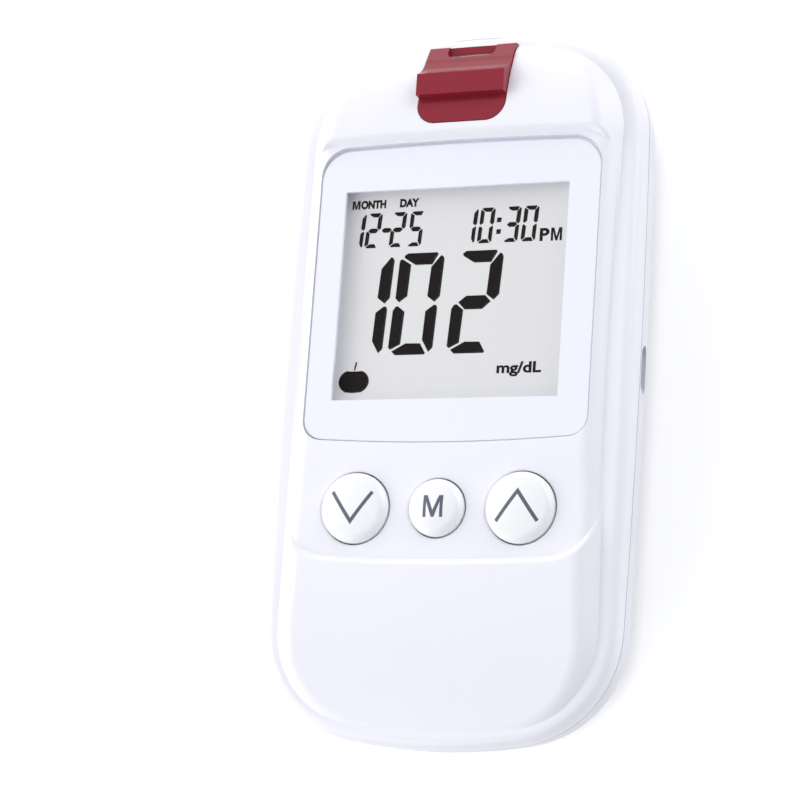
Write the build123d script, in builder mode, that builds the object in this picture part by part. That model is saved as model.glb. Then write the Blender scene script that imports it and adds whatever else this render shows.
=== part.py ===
"""Blood glucose meter, as the separate pieces it is assembled from.

Millimetres. The meter lies face up on its back: +Z out of the face, +Y towards the end
with the test strip port, +X to the right. The origin is under the middle of the casing,
on the surface that the meter lies on.
"""

import os
from math import radians, tan

from build123d import *

# --- casing ---------------------------------------------------------------------------
body_length = 101.3
body_width = 52.6
side_radius = 1520.0
end_radius = 75.0
corner_radius = 15.5
seam_height = 14.0  # parting line of the two shells
seam_gap = 0.24
shell_wall = 1.8
crown_wall = 1.6
upright_height = 0.5  # straight wall between the parting line and the boat-shaped turn of the sides
tongue_inset = 1.9  # lip of the rear shell that stands inside the front shell
tongue_width = 1.0
tongue_height = 0.9
tongue_root = 1.2
tongue_clearance = 0.1

# --- front forms, heights over the parting line ----------------------------------------
display_rise = 5.3  # top of the window
rim_rise = 3.7  # shoulder that runs round the face, at its highest
rim_crest_y = 2.75
rim_crown_radius = 800.0
rim_draft = 6.0
rim_round = 1.5
rim_turn_setback = 6.65  # where the rim starts to fall under the hood, from the top end
rim_end_rise = 0.65  # just past the top end
island_inset = 0.3  # root of the raised face, inside the rim
island_slope = 40.0  # lean of its sides
island_round = 2.8
pillow_setback = 0.6  # hidden start of the pillow, past the foot of its lip
pillow_rise = 5.7
pillow_fall = 4.8  # drop of the pillow from its lip to the bottom end
hood_setback = 16.65  # hidden start of the hood, from the top end
hood_rise = 6.2
hood_fall = 5.6  # drop of the hood from its brow to the top end
end_margin = 1.0
probe = 0.1  # how far from a height or a line an edge is taken to be off it
tiny = 0.01  # a length taken for none

# --- sunk panel between hood and pillow -------------------------------------------------
recess_floor_drop = 2.0  # under the window's top
recess_margin = 4.1  # between the foot of the recess and the widest point of the casing
recess_setback = 17.95  # from the top end
recess_length = 56.7
recess_top_bow = 0.4
recess_bottom_bow = 0.8
recess_top_corner = 3.5
recess_bottom_corner = 6.5
recess_slope = 40.0
recess_lip_round = 0.5
panel_drop = 0.1
panel_dip = 0.4  # how far the panel sinks between the window and the keys
panel_margin = 0.8  # between the top of the panel and the foot of the recess
panel_side_slope = 40.0
panel_round = 3.0
panel_wall = 1.0  # left under the window's pocket
dip_setback = 0.55  # under the window
dip_length = 6.5

# --- window and display -----------------------------------------------------------------
lens_side_margin = 0.5  # panel beside the window
lens_top_overlap = 0.85  # past the foot of the recess's upper wall
lens_length = 42.7
lens_top_bow = 0.4
lens_bottom_bow = 0.8
lens_top_corner = 4.2
lens_bottom_corner = 2.8
lens_thickness = 1.2
lens_clearance = 0.1
lens_top_gap = 0.45
lens_edge_chamfer = 0.2
adhesive_thickness = 0.15
adhesive_inset = 0.4
adhesive_margin = 0.5
window_side_border = 3.0
window_length = 32.4
window_setback = 21.8  # its centre, from the top of the lens
glass_side_lap = 0.9
front_glass_lap = 3.0
back_glass_lap = 0.6
glass_thickness = 0.9
holder_wall = 1.5
holder_clearance = 0.2
holder_lift = 0.6  # floor of the holder over the board
holder_floor = 0.6
zebra_edge = 0.45  # from the edge of the front glass
zebra_width = 1.5
zebra_end_margin = 1.8
zebra_clearance = 0.1

# --- keys ---------------------------------------------------------------------------------
key_row_setback = 9.1  # under the window
key_spacing = 12.08
large_key_radius = 4.9
small_key_radius = 3.98
key_edge_round = 1.05
key_clearance = 0.18
key_edge_rise = 1.2  # shoulder of the cap over the panel
key_dome_rise = 1.55
key_flange_width = 0.7
key_flange_thickness = 0.8
key_flange_gap = 0.1
key_plunger_radius = 1.6
key_hole_round = 0.3
dome_radius = 2.6
dome_height = 0.4
dome_wall = 0.12
dome_gap = 0.05

# --- circuit board and what it carries ----------------------------------------------------
board_drop = 0.9  # underside of the board, under the parting line
board_thickness = 0.8
board_inset = 3.6
board_end_margin = 5.05  # from the top end
board_tail = 10.75  # below the row of keys
chip_size = 9.0
chip_thickness = 1.2
chip_x = 4.0
buzzer_radius = 5.0
buzzer_height = 3.2
buzzer_x = -12.0
bay_spacing = 2.0  # between the battery bay and what hangs under the board beside it
socket_setback = 48.75  # from the top end
socket_width = 6.9
socket_height = 2.4
socket_depth = 5.6
socket_side_margin = 2.3
socket_wall = 0.3
port_width = 6.7
port_height = 2.6
port_corner = 0.9
port_top_drop = 0.4  # top of the port under the parting line

# --- strip port ---------------------------------------------------------------------------
strip_slot_width = 6.5
strip_slot_height = 0.7
strip_slot_rise = 0.5
connector_half_width = 5.6
connector_setback = 5.65  # from the top end
connector_length = 9.6
connector_height = 2.2
connector_cut_half_width = 2.4
contact_count = 5
contact_pitch = 1.15
contact_width = 0.4
contact_thickness = 0.15
groove_rise = 0.15
groove_length = 7.8
port_mouth_width = 8.0
port_mouth_height = 1.0

# --- ejector ------------------------------------------------------------------------------
ejector_half_width = 6.55
ejector_clearance = 0.1
ejector_setback = 14.3  # lower edge, from the top end
ejector_length = 12.25
ejector_corner = 2.8
ejector_thickness = 0.75
ejector_proud = 0.08
ejector_travel = 4.0
track_floor_gap = 0.1
track_end_drop = 3.4  # lowest track floor, under the window's top
ridge_start = 3.85  # foot of the ridge, from the ejector's lower edge
ridge_front = 0.1
ridge_width = 3.1
ridge_fall = 2.9  # length of its hollowed back
ridge_rise = 1.65  # over the window's top
ridge_foot_rise = 5.75
ridge_tail_rise = 4.1
tail_end_rise = 2.75
back_hollow = 0.5  # how far the back of the ridge is hollowed
notch_half_width = 3.6
notch_depth = 1.9
notch_rise = 2.45
stem_half_width = 1.5
stem_start = 0.95  # from the ejector's lower edge
stem_length = 2.0
stem_low_rise = 1.3
stem_cover = 0.3  # slide left over the end of the stem
stem_slot_clearance = 0.15
stem_fit = 0.02
pusher_half_width = 2.2
pusher_back = 0.7  # behind the stem
pusher_front = 1.1
pusher_low_rise = 0.6
pusher_clearance = 0.15
arm_low_rise = 2.25
arm_high_rise = 2.9
arm_reach = 9.3
arm_width = 1.2
leg_width = 2.0
spring_x = 8.3
spring_radius = 0.72
spring_wire = 0.3
spring_turns = 7
ear_thickness = 0.8

# --- battery bay and door -----------------------------------------------------------------
cell_radius = 5.25
cell_length = 44.5
cell_nub_radius = 1.9
cell_nub_height = 1.0
cell_pitch = 11.2
cell_rest_z = 1.9
bay_half_width = 11.3
bay_wall = 1.4
bay_setback = 11.15  # from the bottom end
bay_roof_z = 12.45
bay_roof = 0.65
door_half_width = 12.0
door_low_setback = 2.65  # inside the bay's ends
door_high_setback = 0.65
door_thickness = 1.6
door_clearance = 0.15
door_seat_gap = 0.05
door_rib = 0.25
door_rib_half_length = 8.5
door_rib_width = 1.0
door_rib_setbacks = (5.85, 9.85)
hook_low_x = 9.5
hook_high_x = 11.1
hook_reach = 1.6  # past the door's edge, over the casing's floor
hook_thickness = 0.75
hook_gap = 0.2
hook_root = 1.5
latch_half_width = 3.6
latch_slot = 0.8
latch_length = 6.4
thumb_scoop_radius = 9.0
thumb_scoop_depth = 0.9
thumb_scoop_setback = 3.35
contact_plate = 0.4
contact_half_width = 3.4
contact_bump_radius = 1.5
contact_low_z = 3.7
contact_high_z = 11.0
contact_tail_half_width = 1.0
cell_spring_radius = 2.3
cell_spring_wire = 0.45
cell_spring_turns = 3
cell_spring_length = 3.1
bump_length = 0.6

# --- screws -------------------------------------------------------------------------------
upper_screw_margins = (10.3, 12.65)  # from the side and from the top end
lower_screw_margins = (10.8, 11.65)
screw_radius = 1.0
screw_head_radius = 1.9
screw_head_height = 1.3
screw_head_z = 5.0
screw_tip_rise = 2.0
screw_hole_clearance = 0.15
screw_recess = 0.6
post_radius = 3.3
boss_radius = 2.9
boss_gap = 0.05
pilot_clearance = 0.03

# --- heights that follow ------------------------------------------------------------------
front_base_z = seam_height + seam_gap / 2
rear_top_z = seam_height - seam_gap / 2
back_round = seam_height - upright_height
display_z = seam_height + display_rise
recess_floor_z = display_z - recess_floor_drop
panel_z = display_z - panel_drop
lens_seat_z = display_z + lens_clearance - lens_thickness
pocket_floor_z = lens_seat_z - adhesive_thickness
panel_underside_z = pocket_floor_z - panel_wall
board_bottom_z = seam_height - board_drop
board_top_z = board_bottom_z + board_thickness
holder_floor_z = board_top_z + holder_lift
glass_z = holder_floor_z + holder_floor
glass_step_z = glass_z + glass_thickness
glass_top_z = glass_step_z + glass_thickness
cell_axis_z = cell_rest_z + cell_radius
track_floor_z = display_z - track_end_drop
strip_slot_z = seam_height + strip_slot_rise
groove_z = seam_height + groove_rise
ridge_foot_z = seam_height + ridge_foot_rise
ridge_tail_z = seam_height + ridge_tail_rise
tail_end_z = seam_height + tail_end_rise
notch_z = seam_height + notch_rise
stem_low_z = seam_height + stem_low_rise
pusher_low_z = seam_height + pusher_low_rise
arm_low_z = seam_height + arm_low_rise
arm_high_z = seam_height + arm_high_rise
screw_tip_z = seam_height + screw_tip_rise

# --- places and sizes that follow ---------------------------------------------------------
half_length = body_length / 2
half_width = body_width / 2
hood_edge_y = half_length - hood_setback
recess_half_width = half_width - recess_margin
recess_top_y = half_length - recess_setback
recess_bottom_y = recess_top_y - recess_length
pillow_edge_y = recess_bottom_y - pillow_setback
panel_half_width = recess_half_width - panel_margin
lens_half_width = panel_half_width - lens_side_margin
lens_top_y = recess_top_y + lens_top_overlap
lens_bottom_y = lens_top_y - lens_length
dip_start_y = lens_bottom_y - dip_setback
window_width = 2 * (lens_half_width - window_side_border)
display_centre_y = lens_top_y - window_setback
glass_width = window_width + 2 * glass_side_lap
front_glass_length = window_length + 2 * front_glass_lap
back_glass_length = window_length + 2 * back_glass_lap
holder_width = glass_width + 2 * (holder_clearance + holder_wall)
holder_length = front_glass_length + 2 * (holder_clearance + holder_wall)
zebra_length = glass_width - 2 * zebra_end_margin
zebra_spacing = front_glass_length - 2 * zebra_edge - zebra_width
key_row_y = lens_bottom_y - key_row_setback
keys = ((-key_spacing, large_key_radius), (0.0, small_key_radius), (key_spacing, large_key_radius))
board_high_y = half_length - board_end_margin
board_low_y = key_row_y - board_tail
socket_y = half_length - socket_setback
socket_face_x = half_width - socket_side_margin
connector_high_y = half_length - connector_setback
connector_low_y = connector_high_y - connector_length
ejector_low_y = half_length - ejector_setback
ejector_high_y = ejector_low_y + ejector_length
ridge_foot_y = ejector_low_y + ridge_start
ridge_front_y = ridge_foot_y + ridge_front
ridge_back_y = ridge_front_y + ridge_width
ridge_tail_y = ridge_back_y + ridge_fall
stem_low_y = ejector_low_y + stem_start
stem_high_y = stem_low_y + stem_length
pusher_low_y = stem_low_y - pusher_back
pusher_high_y = stem_high_y + pusher_front
bay_low_y = -half_length + bay_setback
bay_high_y = bay_low_y + 2 * contact_plate + bump_length + cell_length + cell_spring_length
chip_y = bay_high_y + bay_wall + bay_spacing + chip_size / 2
buzzer_place = (buzzer_x, bay_high_y + bay_wall + bay_spacing + buzzer_radius)
door_low_y = bay_low_y + door_low_setback
door_high_y = bay_high_y - door_high_setback
thumb_scoop_y = door_low_y - thumb_scoop_setback
upper_screw_x = half_width - upper_screw_margins[0]
upper_screw_y = half_length - upper_screw_margins[1]
lower_screw_x = half_width - lower_screw_margins[0]
lower_screw_y = -half_length + lower_screw_margins[1]
screw_places = (
    (-upper_screw_x, upper_screw_y),
    (upper_screw_x, upper_screw_y),
    (-lower_screw_x, lower_screw_y),
    (lower_screw_x, lower_screw_y),
)

os.makedirs("parts", exist_ok=True)


def save(part, name):
    """Label a finished piece and write it."""
    part.label = name
    export_step(part, f"parts/{name}.step")


def slab(x_span, y_span, z_span, mode=Mode.ADD):
    """A plain block given by its lowest and highest x, y and z."""
    spans = (x_span, y_span, z_span)
    with Locations(tuple((low + high) / 2 for low, high in spans)):
        Box(*(high - low for low, high in spans), mode=mode)


def body_outline(height, inset=0.0):
    """The casing's outline seen from above, moved inwards by inset."""
    side_x = half_width - inset
    end_y = half_length - inset
    corner_x, corner_y = side_x, end_y
    for _ in range(12):  # settles on the point where the side arc meets the end arc
        corner_x = side_x - side_radius + inset + ((side_radius - inset) ** 2 - corner_y**2) ** 0.5
        corner_y = end_y - end_radius + inset + ((end_radius - inset) ** 2 - corner_x**2) ** 0.5
    with BuildSketch(Plane.XY.offset(height)) as outline:
        with BuildLine():
            ThreePointArc((corner_x, -corner_y), (side_x, 0), (corner_x, corner_y))
            ThreePointArc((corner_x, corner_y), (0, end_y), (-corner_x, corner_y))
            ThreePointArc((-corner_x, corner_y), (-side_x, 0), (-corner_x, -corner_y))
            ThreePointArc((-corner_x, -corner_y), (0, -end_y), (corner_x, -corner_y))
        make_face()
        fillet(outline.vertices(), corner_radius - inset)
    return outline.sketch


def crown_side(drop=0.0):
    """Side view of all that lies under the hood and the pillow, lowered by drop."""
    reach = half_length + end_margin
    lip = (pillow_edge_y, seam_height + pillow_rise - drop)
    brow = (hood_edge_y, seam_height + hood_rise - drop)
    pillow_end = (-reach, lip[1] - pillow_fall)
    hood_end = (reach, brow[1] - hood_fall)
    with BuildSketch(Plane.YZ) as side:
        with BuildLine():
            across = Line(lip, brow)
            TangentArc(brow, hood_end, tangent=across % 1)
            TangentArc(lip, pillow_end, tangent=(across % 0) * -1)
            Polyline(pillow_end, (-reach, 0), (reach, 0), hood_end)
        make_face()
    return side.sketch


def rim_side():
    """Side view of all that lies under the long, shallow crown of the rim and its fall under the hood."""
    reach = half_length + end_margin
    top = seam_height + rim_rise
    turn_y = half_length - rim_turn_setback

    def crown(y):
        return (y, top - (y - rim_crest_y) ** 2 / (2 * rim_crown_radius))

    with BuildSketch(Plane.YZ) as side:
        with BuildLine():
            long_crown = ThreePointArc(crown(-reach), (rim_crest_y, top), crown(turn_y))
            TangentArc(crown(turn_y), (reach, seam_height + rim_end_rise), tangent=long_crown % 1)
            Polyline(crown(-reach), (-reach, 0), (reach, 0), (reach, seam_height + rim_end_rise))
        make_face()
    return side.sketch


def bowed_outline(height, side_x, ends, bows, corners):
    """A rounded rectangle with bulging ends; each pair gives the lower and the upper end."""
    low_y, high_y = ends
    low_side_y = low_y + bows[0]
    high_side_y = high_y - bows[1]
    with BuildSketch(Plane.XY.offset(height)) as outline:
        with BuildLine():
            ThreePointArc((side_x, high_side_y), (0, high_y), (-side_x, high_side_y))
            Line((-side_x, high_side_y), (-side_x, low_side_y))
            ThreePointArc((-side_x, low_side_y), (0, low_y), (side_x, low_side_y))
            Line((side_x, low_side_y), (side_x, high_side_y))
        make_face()
        fillet(outline.vertices().group_by(Axis.Y)[-1], corners[1])
        fillet(outline.vertices().group_by(Axis.Y)[0], corners[0])
    return outline.sketch


def lens_outline(height, grow=0.0, top_grow=0.0):
    """The window's outline, made larger by grow, and by top_grow at its upper end."""
    ends = (lens_bottom_y - grow, lens_top_y + (top_grow or grow))
    corners = (lens_bottom_corner + grow, lens_top_corner + grow)
    return bowed_outline(height, lens_half_width + grow, ends, (lens_bottom_bow, lens_top_bow), corners)


def disc(place, radius, z_span, mode=Mode.ADD):
    """An upright round pin given by its place, its radius and its lowest and highest z."""
    low, high = z_span
    with Locations((place[0], place[1], (low + high) / 2)):
        Cylinder(radius, high - low, mode=mode)


def coil(wire, radius, turns, start, length, direction):
    """A wire coil from start along direction, its ends flush with both limits."""
    pitch = (length - wire) / turns
    start = Vector(*start) + Vector(*direction) * (wire / 2)
    with BuildPart() as spring:
        with BuildLine() as path:
            Helix(pitch, pitch * turns, radius, center=start, direction=direction)
        with BuildSketch(Plane(path.line ^ 0)):
            Circle(wire / 2)
        sweep(path=path.line)
    return spring.part


def top_loop(part, above):
    """Edges round the top of a block, without the lines that cross it."""
    return part.edges().filter_by(
        lambda edge: edge.bounding_box().min.Z > above
        and not (edge.bounding_box().size.Y < tiny and edge.bounding_box().size.X > half_width)
    )


# --- front shell --------------------------------------------------------------------------
with BuildPart() as island:
    side_height = hood_rise + 1
    add(body_outline(front_base_z, island_inset))
    add(body_outline(front_base_z + side_height, island_inset + side_height * tan(radians(island_slope))))
    loft(ruled=True)
    extrude(crown_side(), amount=body_width, both=True, mode=Mode.INTERSECT)
    fillet(top_loop(island, front_base_z + probe), island_round)

with BuildPart() as rim:
    rim_height = rim_rise + 1
    add(body_outline(front_base_z))
    add(body_outline(front_base_z + rim_height, rim_height * tan(radians(rim_draft))))
    loft(ruled=True)
    extrude(rim_side(), amount=body_width, both=True, mode=Mode.INTERSECT)
    fillet(top_loop(rim, front_base_z + probe), rim_round)

with BuildPart() as panel:
    panel_lean = (panel_z - recess_floor_z) * tan(radians(panel_side_slope))
    foot_half_width = panel_half_width + panel_lean
    with BuildSketch(Plane.XZ.offset(-recess_top_y - 2)):
        with BuildLine():
            Polyline(
                (-foot_half_width, recess_floor_z),
                (-panel_half_width, panel_z),
                (panel_half_width, panel_z),
                (foot_half_width, recess_floor_z),
                (foot_half_width, seam_height + 1),
                (-foot_half_width, seam_height + 1),
                close=True,
            )
        make_face()
    extrude(amount=recess_top_y - recess_bottom_y + 4)
    with BuildSketch(Plane.YZ):
        with BuildLine():
            dip_end = (dip_start_y - dip_length, panel_z - panel_dip)
            level = Line((recess_top_y + 3, panel_z), (dip_start_y, panel_z))
            Spline((dip_start_y, panel_z), dip_end, tangents=(level % 1, level % 1))
            Polyline(
                dip_end,
                (recess_bottom_y - 3, panel_z - panel_dip),
                (recess_bottom_y - 3, 0),
                (recess_top_y + 3, 0),
                (recess_top_y + 3, panel_z),
            )
        make_face()
    extrude(amount=body_width, both=True, mode=Mode.INTERSECT)
    side_edges = panel.edges().filter_by(
        lambda edge: edge.bounding_box().size.X < 0.5
        and edge.bounding_box().size.Y > 5
        and edge.bounding_box().min.Z > recess_floor_z + 0.2
    )
    fillet(side_edges, panel_round)

with BuildPart() as inside:
    inner_height = hood_rise + 1
    inner_inset = tongue_inset + 0.5
    inner_top_inset = inner_inset + inner_height * tan(radians(island_slope))
    add(body_outline(front_base_z, inner_inset))
    add(body_outline(front_base_z + inner_height, inner_top_inset))
    loft(ruled=True)
    extrude(crown_side(crown_wall), amount=body_width, both=True, mode=Mode.INTERSECT)
    slab(
        (-half_width, half_width),
        (recess_bottom_y - 3, recess_top_y + 2.5),
        (panel_underside_z, display_z + 2),
        mode=Mode.SUBTRACT,
    )
    extrude(
        body_outline(front_base_z, tongue_inset - tongue_clearance),
        amount=tongue_height + tongue_clearance - seam_gap / 2,
    )
    for place in screw_places:
        disc(place, boss_radius, (seam_height, display_z + 2), mode=Mode.SUBTRACT)

with BuildPart() as track:
    slab(
        (-ejector_half_width - ejector_clearance, ejector_half_width + ejector_clearance),
        (ejector_low_y - ejector_clearance, half_length + 1),
        (track_floor_z, display_z + 3),
    )
    fillet(track.edges().filter_by(Axis.Z).group_by(Axis.Y)[0], ejector_corner + ejector_clearance)
    track_floor_drop = ejector_thickness + track_floor_gap
    extrude(crown_side(track_floor_drop), amount=body_width, both=True, mode=Mode.SUBTRACT)

with BuildPart() as front_shell:
    add(rim.part)
    add(island.part)
    recess = bowed_outline(
        recess_floor_z,
        recess_half_width,
        (recess_bottom_y, recess_top_y),
        (recess_bottom_bow, recess_top_bow),
        (recess_bottom_corner, recess_top_corner),
    )
    extrude(recess, amount=hood_rise, taper=-recess_slope, mode=Mode.SUBTRACT)
    recess_walls = front_shell.faces().filter_by(
        lambda face: abs(face.bounding_box().min.Z - recess_floor_z) < tiny
        and face.bounding_box().max.Z > recess_floor_z + probe
    )
    lip = recess_walls.edges().filter_by(lambda edge: edge.bounding_box().min.Z > recess_floor_z + probe)
    fillet(lip, recess_lip_round)
    add(panel.part)
    add(inside.part, mode=Mode.SUBTRACT)
    for place in screw_places:
        boss_foot_z = (board_top_z if place[1] > 0 else board_bottom_z) + boss_gap
        disc(place, boss_radius, (boss_foot_z, seam_height + 1))
        disc(place, screw_radius + pilot_clearance, (boss_foot_z, screw_tip_z + 0.4), mode=Mode.SUBTRACT)
    # pocket of the window, and the opening under it
    pocket = lens_outline(pocket_floor_z, lens_clearance, lens_top_gap)
    extrude(pocket, amount=5, mode=Mode.SUBTRACT)
    with BuildSketch(Plane.XY.offset(panel_underside_z - 1)):
        with Locations((0, display_centre_y)):
            RectangleRounded(window_width, window_length, 1)
    extrude(amount=3, mode=Mode.SUBTRACT)
    # key holes with softened rims
    for x, radius in keys:
        disc((x, key_row_y), radius + key_clearance, (seam_height, display_z + 2), mode=Mode.SUBTRACT)
    hole_edges = front_shell.edges().filter_by(
        lambda edge: edge.geom_type == GeomType.CIRCLE
        and abs(edge.arc_center.Y - key_row_y) < probe
        and edge.center().Z > panel_underside_z + 0.5
    )
    fillet(hole_edges, key_hole_round)
    # track of the ejector, the slot for its stem and the strip port
    add(track.part, mode=Mode.SUBTRACT)
    slab(
        (-stem_half_width - stem_slot_clearance, stem_half_width + stem_slot_clearance),
        (stem_low_y - stem_slot_clearance, stem_high_y + ejector_travel + stem_slot_clearance),
        (stem_low_z, display_z + 3),
        mode=Mode.SUBTRACT,
    )
    slab(
        (-strip_slot_width / 2, strip_slot_width / 2),
        (connector_high_y, half_length + 1),
        (strip_slot_z, strip_slot_z + strip_slot_height),
        mode=Mode.SUBTRACT,
    )
    with BuildSketch(Plane.XZ.offset(-half_length - 1)):
        with Locations((0, strip_slot_z + strip_slot_height / 2)):
            SlotOverall(port_mouth_width, port_mouth_height)
    extrude(amount=1.8, mode=Mode.SUBTRACT)
save(front_shell.part, "front_shell")

# --- rear shell -----------------------------------------------------------------------------
with BuildPart() as rear_inside:
    extrude(body_outline(shell_wall, shell_wall), amount=rear_top_z - shell_wall)
    fillet(rear_inside.edges().group_by(Axis.Z)[0], back_round - shell_wall)
    slab(
        (-bay_half_width - bay_wall, bay_half_width + bay_wall),
        (bay_low_y - bay_wall, bay_high_y + bay_wall),
        (0, bay_roof_z + bay_roof),
        mode=Mode.SUBTRACT,
    )
    for place in screw_places:
        disc(place, post_radius, (0, board_bottom_z), mode=Mode.SUBTRACT)

with BuildPart() as tongue:
    extrude(body_outline(rear_top_z - tongue_root, tongue_inset - 0.4), amount=tongue_root)
    extrude(body_outline(rear_top_z, tongue_inset), amount=tongue_height + seam_gap / 2)
    tongue_inner = body_outline(rear_top_z - tongue_root, tongue_inset + tongue_width)
    extrude(tongue_inner, amount=tongue_root + 2, mode=Mode.SUBTRACT)
    notch_x = (-port_mouth_width / 2, port_mouth_width / 2)
    slab(notch_x, (0, half_length), (rear_top_z, strip_slot_z + 1), mode=Mode.SUBTRACT)

with BuildPart() as rear_shell:
    extrude(body_outline(0), amount=rear_top_z)
    fillet(rear_shell.edges().group_by(Axis.Z)[0], back_round)
    add(rear_inside.part, mode=Mode.SUBTRACT)
    add(tongue.part)
    # battery bay, open to the back
    bay_x = (-bay_half_width, bay_half_width)
    opening_y = (door_low_y - door_clearance, door_high_y + door_clearance)
    slab(bay_x, (bay_low_y, bay_high_y), (shell_wall, bay_roof_z), mode=Mode.SUBTRACT)
    slab(bay_x, opening_y, (-1, shell_wall + 0.5), mode=Mode.SUBTRACT)
    door_span = door_half_width + door_clearance
    slab((-door_span, door_span), opening_y, (-1, door_thickness + door_seat_gap), mode=Mode.SUBTRACT)
    for side in (-1, 1):
        slot_x = sorted((side * (hook_low_x - door_clearance), side * (hook_high_x + door_clearance)))
        slot_high_z = shell_wall + hook_gap + hook_thickness + 0.6
        slot_y = (bay_high_y - 0.1, bay_high_y + bay_wall + 0.1)
        slab(slot_x, slot_y, (shell_wall, slot_high_z), Mode.SUBTRACT)
        tail_low_x = side * cell_pitch / 2 - contact_tail_half_width - 0.1
        tail_x = (tail_low_x, tail_low_x + 2 * contact_tail_half_width + 0.2)
        slab(tail_x, (bay_high_y - 0.5, bay_high_y), (bay_roof_z - 0.1, board_bottom_z), Mode.SUBTRACT)
    with Locations((0, thumb_scoop_y, thumb_scoop_depth - thumb_scoop_radius)):
        Sphere(thumb_scoop_radius, mode=Mode.SUBTRACT)
    # screw holes
    for place in screw_places:
        disc(place, screw_head_radius + screw_hole_clearance + 0.1, (-1, screw_head_z), mode=Mode.SUBTRACT)
        disc(place, screw_radius + screw_hole_clearance, (0, board_bottom_z), mode=Mode.SUBTRACT)
    # data port in the right side
    port_high_z = seam_height - port_top_drop
    with BuildSketch(Plane.YZ.offset(socket_face_x - 1)) as port:
        with Locations((socket_y, port_high_z - port_height / 2)):
            Rectangle(port_width, port_height)
        chamfer(port.vertices().group_by(Axis.Z)[0], port_corner)
    extrude(amount=5, mode=Mode.SUBTRACT)
    slab(
        (socket_face_x - 2, socket_face_x + 0.3),
        (socket_y - socket_width / 2 - 0.15, socket_y + socket_width / 2 + 0.15),
        (board_bottom_z - socket_height - 0.2, board_bottom_z + 0.2),
        mode=Mode.SUBTRACT,
    )
save(rear_shell.part, "rear_shell")

# --- battery door ---------------------------------------------------------------------------
with BuildPart() as battery_door:
    slab((-door_half_width, door_half_width), (door_low_y, door_high_y), (0, door_thickness))
    for y in (door_low_y + door_rib_setbacks[0], door_high_y - door_rib_setbacks[1]):
        rib_y = (y - door_rib_width / 2, y + door_rib_width / 2)
        rib_z = (door_thickness - 0.2, door_thickness + door_rib)
        slab((-door_rib_half_length, door_rib_half_length), rib_y, rib_z)
    for side in (-1, 1):
        hook = sorted((side * hook_low_x, side * hook_high_x))
        hook_low_z = shell_wall + hook_gap
        hook_top_z = hook_low_z + hook_thickness
        slab(hook, (door_high_y - hook_root, door_high_y), (door_thickness - 0.2, hook_top_z))
        slab(hook, (door_high_y - hook_root, door_high_y + hook_reach), (hook_low_z, hook_top_z))
        slit = sorted((side * latch_half_width, side * (latch_half_width + latch_slot)))
        slab(slit, (door_low_y, door_low_y + latch_length), (-1, door_thickness + 1), Mode.SUBTRACT)
    for step in range(3):
        grip_y = door_low_y + 1.6 + 1.3 * step
        slab((-2.6, 2.6), (grip_y, grip_y + 0.5), (-1, 0.3), Mode.SUBTRACT)
save(battery_door.part, "battery_door")

# --- cells and their contacts ---------------------------------------------------------------
for name, side in (("battery_left", -1), ("battery_right", 1)):
    nub_y = bay_high_y - contact_plate - bump_length if side < 0 else bay_low_y + contact_plate + bump_length
    into_bay = -1 if side < 0 else 1
    with BuildPart() as cell:
        with BuildSketch(Plane.XZ.offset(-nub_y)):
            with Locations((side * cell_pitch / 2, cell_axis_z)):
                Circle(cell_nub_radius)
        extrude(amount=-into_bay * (cell_nub_height + 0.5))
        with BuildSketch(Plane.XZ.offset(-nub_y - into_bay * cell_nub_height)):
            with Locations((side * cell_pitch / 2, cell_axis_z)):
                Circle(cell_radius)
        extrude(amount=-into_bay * (cell_length - cell_nub_height))
        fillet(cell.edges().filter_by(GeomType.CIRCLE).group_by(SortBy.LENGTH)[-1], 0.4)
    save(cell.part, name)

tail_span = (contact_high_z - 1, board_bottom_z)
for name, side in (("positive_contact", -1), ("negative_contact", 1)):
    middle_x = side * cell_pitch / 2
    plate_x = (middle_x - contact_half_width, middle_x + contact_half_width)
    tail_x = (middle_x - contact_tail_half_width, middle_x + contact_tail_half_width)
    plate_y = (bay_high_y - contact_plate, bay_high_y)
    with BuildPart() as contact:
        slab(plate_x, plate_y, (contact_low_z, contact_high_z))
        slab(tail_x, plate_y, tail_span)
        if side < 0:
            with Locations(Plane((middle_x, plate_y[0] - bump_length / 2, cell_axis_z), z_dir=(0, 1, 0))):
                Cylinder(contact_bump_radius, bump_length)
        else:
            start = (middle_x, plate_y[0] + cell_spring_wire / 2, cell_axis_z)
            reach = cell_spring_length + cell_spring_wire / 2
            add(coil(cell_spring_wire, cell_spring_radius, cell_spring_turns, start, reach, (0, -1, 0)))
    save(contact.part, name)

with BuildPart() as bridge_contact:
    bridge_half_width = cell_pitch / 2 + contact_half_width
    slab(
        (-bridge_half_width, bridge_half_width),
        (bay_low_y, bay_low_y + contact_plate),
        (contact_low_z + 0.6, contact_high_z - 1),
    )
    with Locations(
        Plane((cell_pitch / 2, bay_low_y + contact_plate + bump_length / 2, cell_axis_z), z_dir=(0, 1, 0))
    ):
        Cylinder(contact_bump_radius, bump_length)
    start = (-cell_pitch / 2, bay_low_y + contact_plate - cell_spring_wire / 2, cell_axis_z)
    reach = cell_spring_length + cell_spring_wire / 2
    add(coil(cell_spring_wire, cell_spring_radius, cell_spring_turns, start, reach, (0, 1, 0)))
save(bridge_contact.part, "bridge_contact")

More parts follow.
